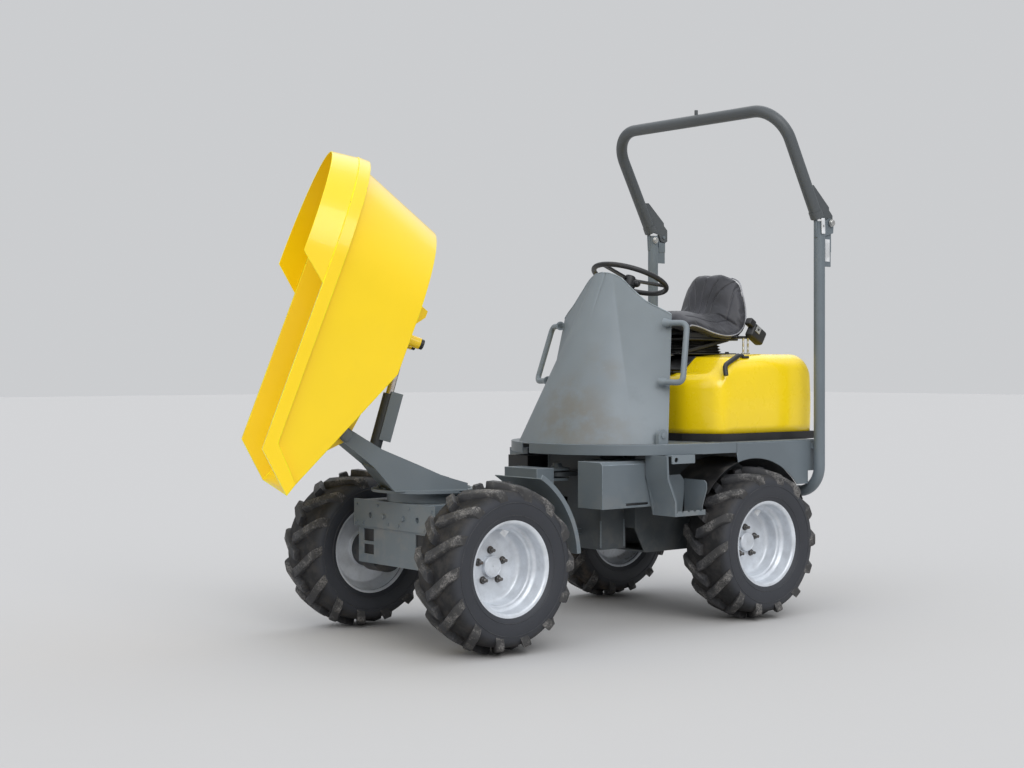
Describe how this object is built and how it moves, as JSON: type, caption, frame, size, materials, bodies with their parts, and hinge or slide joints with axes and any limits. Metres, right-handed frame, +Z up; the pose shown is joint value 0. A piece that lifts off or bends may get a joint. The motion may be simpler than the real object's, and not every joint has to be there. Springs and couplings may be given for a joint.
{
  "type": "articulated site dumper with swivel skip",
  "caption": "Centre-pivot site dumper with a tipping, swivelling skip on the front frame and a driver's seat, folding roll hoop and bonnet on the rear frame.",
  "frame": {"origin": "on the ground straight below the steering pivot, midway between the axles, on the machine's centre line", "axes": "+X forward, +Y to the driver's left, +Z up"},
  "size_m": [3.1917, 1.4282, 2.551],
  "materials": {
    "yellow_paint": "gloss paint",
    "bonnet_yellow": "gloss moulding",
    "grey_paint": "satin paint",
    "light_grey_paint": "satin paint, worn",
    "dark_paint": "satin paint, dusty",
    "rim_paint": "satin silver paint",
    "tyre": "ribbed rubber",
    "black_vinyl": "soft vinyl",
    "black_plastic": "matt moulding",
    "rod_chrome": "polished",
    "engine": "rough casting"
  },
  "bodies": {
    "rear_frame": {"rear_chassis": "dark_paint", "rear_axle": "dark_paint", "deck": "grey_paint", "side_plates": "grey_paint", "engine_block": "engine", "bonnet_sill": "black_plastic", "rops_posts": "grey_paint", "console": "light_grey_paint", "grab_handles": "light_grey_paint", "steering_column": "black_plastic", "toolbox": "grey_paint", "oil_tank": "black_plastic", "steps": "grey_paint", "tie_downs": "light_grey_paint", "tow_hitch": "dark_paint"},
    "front_frame": {"front_chassis": "grey_paint", "front_plates": "grey_paint", "front_axle": "dark_paint", "mudguards": "grey_paint", "slew_ring": "grey_paint"},
    "turntable": {"tip_frame": "grey_paint"},
    "skip": {"skip_tub": "yellow_paint", "spill_guard": "yellow_paint", "skip_hinges": "yellow_paint"},
    "tip_barrel": {"tip_barrel": "dark_paint", "barrel_guard": "grey_paint"},
    "tip_rod": {"tip_rod": "rod_chrome"},
    "steer_barrel": {"steer_barrel": "dark_paint"},
    "steer_rod": {"steer_rod": "rod_chrome"},
    "bonnet": {"bonnet": "bonnet_yellow", "seat_base": "black_plastic", "seat_cushion": "black_vinyl", "seat_back": "black_vinyl", "belt_reel": "black_plastic"},
    "rops_hoop": {"rops_hoop": "grey_paint"},
    "steering_wheel": {"steering_wheel": "black_plastic"},
    "wheel_front_left": {"tyre_front_left": "tyre", "rim_front_left": "rim_paint"},
    "wheel_front_right": {"tyre_front_right": "tyre", "rim_front_right": "rim_paint"},
    "wheel_rear_left": {"tyre_rear_left": "tyre", "rim_rear_left": "rim_paint"},
    "wheel_rear_right": {"tyre_rear_right": "tyre", "rim_rear_right": "rim_paint"}
  },
  "joints": [
    {"name": "steer", "type": "hinge", "parent": "rear_frame", "child": "front_frame", "pos_m": [0, 0, 0.58], "axis": [0, 0, 1], "range_deg": [-33, 33]},
    {"name": "skip_swivel", "type": "hinge", "parent": "front_frame", "child": "turntable", "pos_m": [0.8, 0, 0.668], "axis": [0, 0, 1], "range_deg": [-64.8, 115.2]},
    {"name": "skip_tip", "type": "hinge", "parent": "turntable", "child": "skip", "pos_m": [1.14564, -0.16265, 0.931], "axis": [0.4258, 0.9048, 0], "range_deg": [-70, 0]},
    {"name": "tip_barrel_swing", "type": "hinge", "parent": "turntable", "child": "tip_barrel", "pos_m": [1.01263, -0.10006, 0.815], "axis": [0.4258, 0.9048, 0], "range_deg": [-80, 2]},
    {"name": "tip_rod_slide", "type": "slide", "parent": "tip_barrel", "child": "tip_rod", "axis": [-0.2401, 0.113, 0.9641], "range_m": [-0.212, 0.004]},
    {"name": "steer_barrel_swing", "type": "hinge", "parent": "rear_frame", "child": "steer_barrel", "pos_m": [-0.47, -0.105, 0.56], "axis": [0, 0, 1], "range_deg": [-12, 12]},
    {"name": "steer_rod_slide", "type": "slide", "parent": "steer_barrel", "child": "steer_rod", "axis": [0.9907, -0.1358, 0], "range_m": [-0.1, 0.1]},
    {"name": "bonnet_lift", "type": "hinge", "parent": "rear_frame", "child": "bonnet", "pos_m": [-1.351, 0, 0.89], "axis": [0, -1, 0], "range_deg": [0, 45]},
    {"name": "rops_fold", "type": "hinge", "parent": "rear_frame", "child": "rops_hoop", "pos_m": [-1.298, 0, 1.95], "axis": [0, -1, 0], "range_deg": [0, 120]},
    {"name": "steering_wheel_spin", "type": "hinge", "parent": "rear_frame", "child": "steering_wheel", "pos_m": [-0.47, 0, 1.632], "axis": [-0.36, 0, 0.933], "continuous": true},
    {"name": "wheel_front_left_spin", "type": "hinge", "parent": "front_frame", "child": "wheel_front_left", "pos_m": [0.8, 0.515, 0.37], "axis": [0, 1, 0], "continuous": true},
    {"name": "wheel_front_right_spin", "type": "hinge", "parent": "front_frame", "child": "wheel_front_right", "pos_m": [0.8, -0.515, 0.37], "axis": [0, 1, 0], "continuous": true},
    {"name": "wheel_rear_left_spin", "type": "hinge", "parent": "rear_frame", "child": "wheel_rear_left", "pos_m": [-0.8, 0.515, 0.37], "axis": [0, 1, 0], "continuous": true},
    {"name": "wheel_rear_right_spin", "type": "hinge", "parent": "rear_frame", "child": "wheel_rear_right", "pos_m": [-0.8, -0.515, 0.37], "axis": [0, 1, 0], "continuous": true}
  ],
  "couplings": [
    {"joint": "tip_barrel_swing", "follows": "skip_tip", "ratio": 1.1033},
    {"joint": "tip_rod_slide", "follows": "skip_tip", "m_per_rad": 0.16958},
    {"joint": "steer_barrel_swing", "follows": "steer", "ratio": 0.26798},
    {"joint": "steer_rod_slide", "follows": "steer", "m_per_rad": 0.16411}
  ]
}
